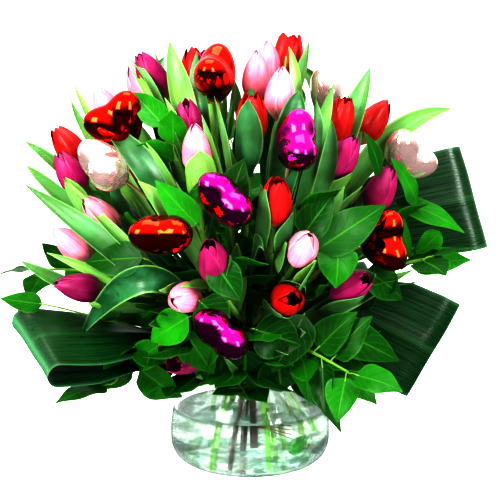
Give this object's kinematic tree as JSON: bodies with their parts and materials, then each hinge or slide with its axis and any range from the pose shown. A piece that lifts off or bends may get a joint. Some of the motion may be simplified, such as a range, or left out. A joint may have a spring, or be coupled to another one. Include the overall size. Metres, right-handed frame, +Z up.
{
  "type": "tulips in a vase",
  "caption": "Cut tulips with foil hearts on sticks, strap-leaf loops and leafy sprigs, spiral-tied and standing in water in a low round glass bowl vase.",
  "frame": {"origin": "centre of the vase's flat base", "axes": "+Z up along the vase's axis; the front of the arrangement faces -Y; +X to the right seen from the front"},
  "size_m": [0.5363, 0.4313, 0.4704],
  "materials": {
    "petal_red": "satin",
    "petal_pink": "satin",
    "petal_purple": "satin",
    "leaf_tulip": "satin",
    "leaf_glossy": "satin",
    "leaf_strap": "satin",
    "stem_green": "satin",
    "bark": "matte",
    "foil_red": "polished",
    "foil_silver_pink": "polished",
    "foil_magenta": "polished",
    "raffia": "matte",
    "glass": "polished",
    "water": "gloss"
  },
  "bodies": {
    "root": {"aspidistra_back_left": "leaf_strap", "aspidistra_back_right": "leaf_strap", "aspidistra_left_lower": "leaf_strap", "aspidistra_right_lower": "leaf_strap", "aspidistra_right_upper": "leaf_strap", "binding_tie": "raffia", "heart_magenta_08": "foil_magenta", "heart_magenta_09": "foil_magenta", "heart_magenta_10": "foil_magenta", "heart_red_01": "foil_red", "heart_red_02": "foil_red", "heart_red_03": "foil_red", "heart_red_04": "foil_red", "heart_silver_pink_05": "foil_silver_pink", "heart_silver_pink_06": "foil_silver_pink", "heart_silver_pink_07": "foil_silver_pink", "salal_back": "leaf_glossy", "salal_left": "leaf_glossy", "salal_lower_left": "leaf_glossy", "salal_lower_right": "leaf_glossy", "salal_right": "leaf_glossy", "tulip_pink_04": "petal_pink", "tulip_pink_05": "petal_pink", "tulip_pink_07": "petal_pink", "tulip_pink_08": "petal_pink", "tulip_pink_13": "petal_pink", "tulip_pink_14": "petal_pink", "tulip_pink_15": "petal_pink", "tulip_pink_17": "petal_pink", "tulip_pink_24": "petal_pink", "tulip_pink_28": "petal_pink", "tulip_pink_30": "petal_pink", "tulip_pink_33": "petal_pink", "tulip_pink_36": "petal_pink", "tulip_purple_02": "petal_purple", "tulip_purple_06": "petal_purple", "tulip_purple_09": "petal_purple", "tulip_purple_11": "petal_purple", "tulip_purple_12": "petal_purple", "tulip_purple_21": "petal_purple", "tulip_purple_22": "petal_purple", "tulip_purple_26": "petal_purple", "tulip_purple_27": "petal_purple", "tulip_purple_29": "petal_purple", "tulip_purple_32": "petal_purple", "tulip_purple_35": "petal_purple", "tulip_red_01": "petal_red", "tulip_red_03": "petal_red", "tulip_red_10": "petal_red", "tulip_red_16": "petal_red", "tulip_red_18": "petal_red", "tulip_red_19": "petal_red", "tulip_red_20": "petal_red", "tulip_red_23": "petal_red", "tulip_red_25": "petal_red", "tulip_red_31": "petal_red", "tulip_red_34": "petal_red", "tulip_red_37": "petal_red", "vase": "glass", "water": "water"}
  },
  "joints": []
}
